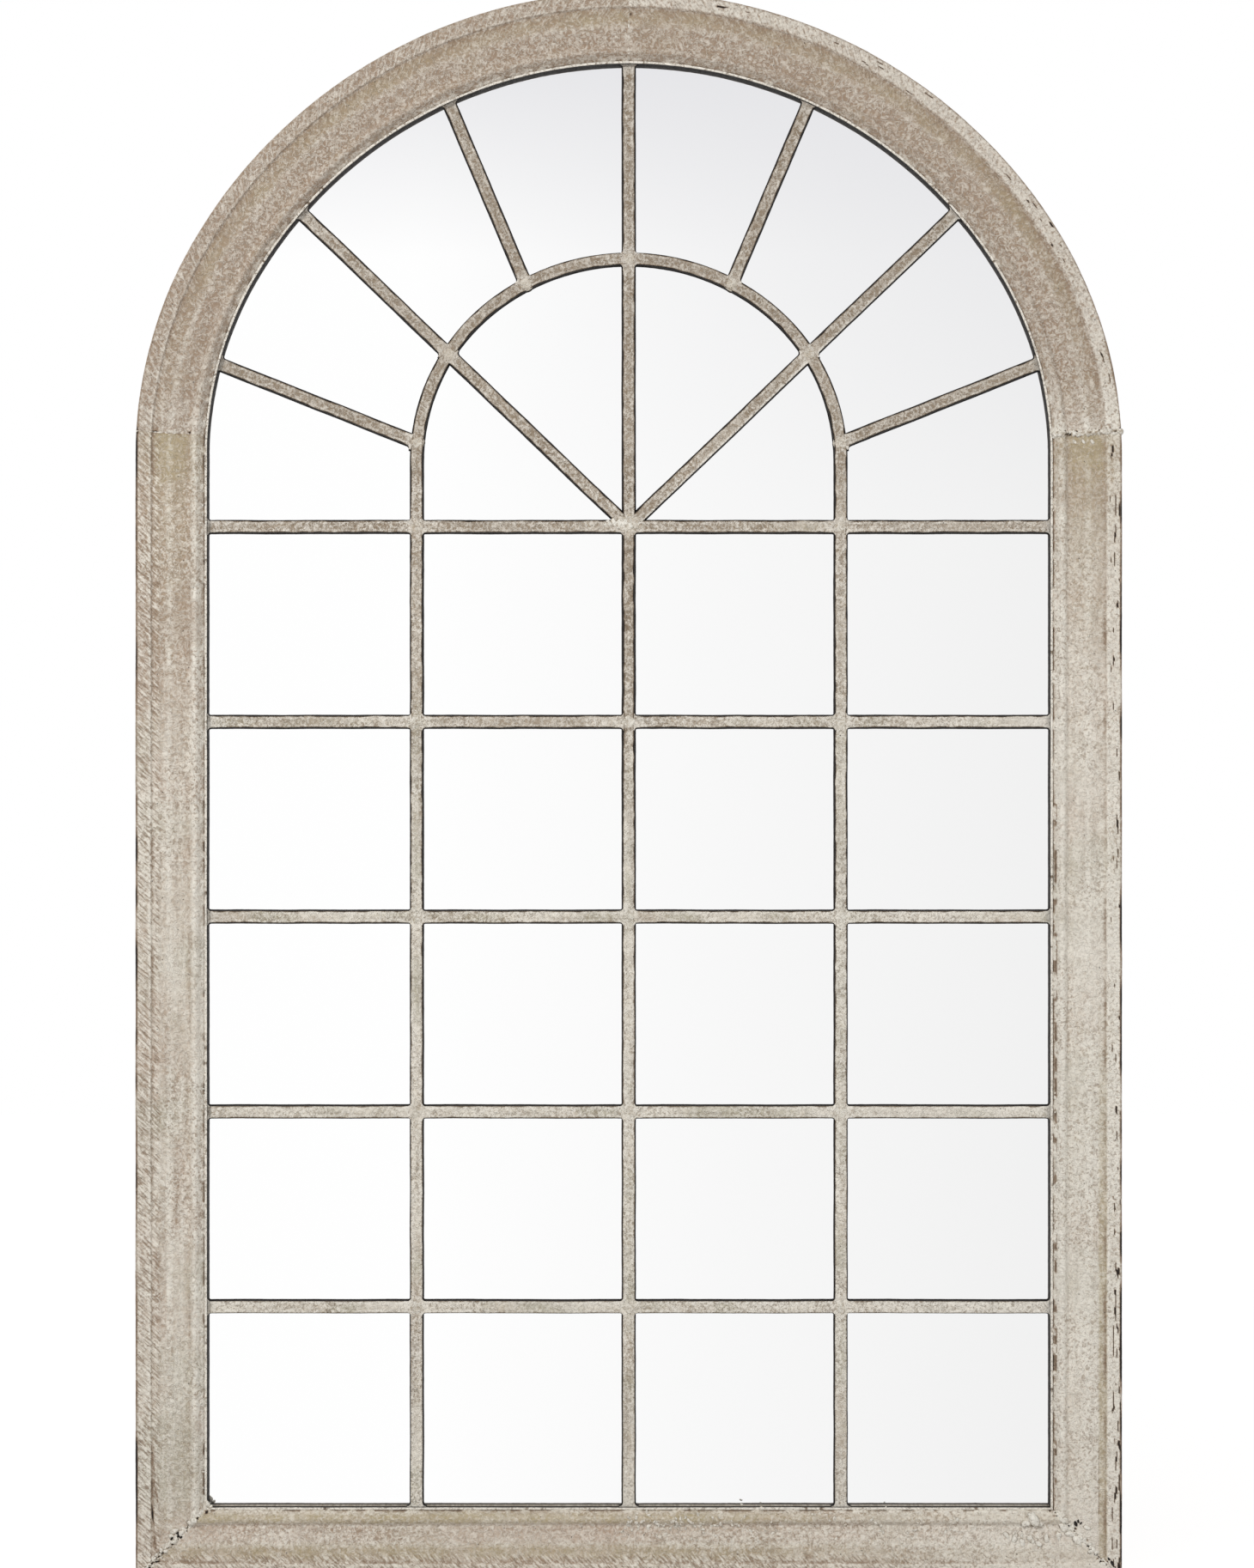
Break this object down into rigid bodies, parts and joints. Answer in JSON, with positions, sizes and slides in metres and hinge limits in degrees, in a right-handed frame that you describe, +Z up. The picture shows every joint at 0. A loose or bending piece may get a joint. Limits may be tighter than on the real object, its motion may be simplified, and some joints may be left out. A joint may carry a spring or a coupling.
{
  "type": "arched window mirror",
  "caption": "Tall arched wall mirror with a moulded distressed metal frame and a welded window-pane lattice in front of one sheet of mirror glass, hung by two swinging rings.",
  "frame": {"origin": "bottom edge of the frame, on the centre line, at the middle of the whole depth from the face to the wall", "axes": "+X to the viewer's right, +Y from the mirror's face towards the wall, +Z up"},
  "size_m": [1.143, 0.0508, 1.84],
  "materials": {
    "painted_steel": "distressed greige paint over steel, pitted, with brown and olive rubbed patches",
    "core_wood": "planed pine, unfinished",
    "mirror": "silvered plate glass",
    "board": "raw fibreboard",
    "zinc_steel": "bright zinc plate",
    "bumper_rubber": "matt black rubber"
  },
  "bodies": {
    "frame": {"moulding_arch_left": "painted_steel", "moulding_arch_right": "painted_steel", "moulding_side_left": "painted_steel", "moulding_side_right": "painted_steel", "moulding_bottom": "painted_steel", "liner_arch": "painted_steel", "liner_left": "painted_steel", "liner_right": "painted_steel", "liner_bottom": "painted_steel", "upright_left": "painted_steel", "upright_centre": "painted_steel", "upright_right": "painted_steel", "inner_arch_bar": "painted_steel", "crossbars_row_1": "painted_steel", "crossbars_row_2": "painted_steel", "crossbars_row_3": "painted_steel", "crossbars_row_4": "painted_steel", "crossbars_row_5": "painted_steel", "outer_spoke_low_left": "painted_steel", "outer_spoke_low_right": "painted_steel", "outer_spoke_mid_left": "painted_steel", "outer_spoke_mid_right": "painted_steel", "outer_spoke_high_left": "painted_steel", "outer_spoke_high_right": "painted_steel", "outer_spoke_centre": "painted_steel", "inner_spoke_left": "painted_steel", "inner_spoke_centre": "painted_steel", "inner_spoke_right": "painted_steel", "core_arch_left": "core_wood", "core_arch_right": "core_wood", "core_side_left": "core_wood", "core_side_right": "core_wood", "core_bottom": "core_wood", "mirror_glass": "mirror", "backing_board": "board", "fixing_clips": "zinc_steel", "clip_screws": "zinc_steel", "joint_plate_crown": "zinc_steel", "joint_plate_left": "zinc_steel", "joint_plate_right": "zinc_steel", "corner_plate_left": "zinc_steel", "corner_plate_right": "zinc_steel", "plate_screws": "zinc_steel", "hanger_strap_left": "zinc_steel", "hanger_strap_right": "zinc_steel", "hanger_screws": "zinc_steel", "wall_bumpers": "bumper_rubber"},
    "ring_left": {"hanger_ring_left": "zinc_steel"},
    "ring_right": {"hanger_ring_right": "zinc_steel"}
  },
  "joints": [
    {"name": "ring_left_swing", "type": "hinge", "parent": "frame", "child": "ring_left", "pos_m": [-0.5465, 0.0218, 1.24168], "axis": [1, 0, 0], "range_deg": [0, 180]},
    {"name": "ring_right_swing", "type": "hinge", "parent": "frame", "child": "ring_right", "pos_m": [0.5465, 0.0218, 1.24168], "axis": [1, 0, 0], "range_deg": [0, 180]}
  ]
}
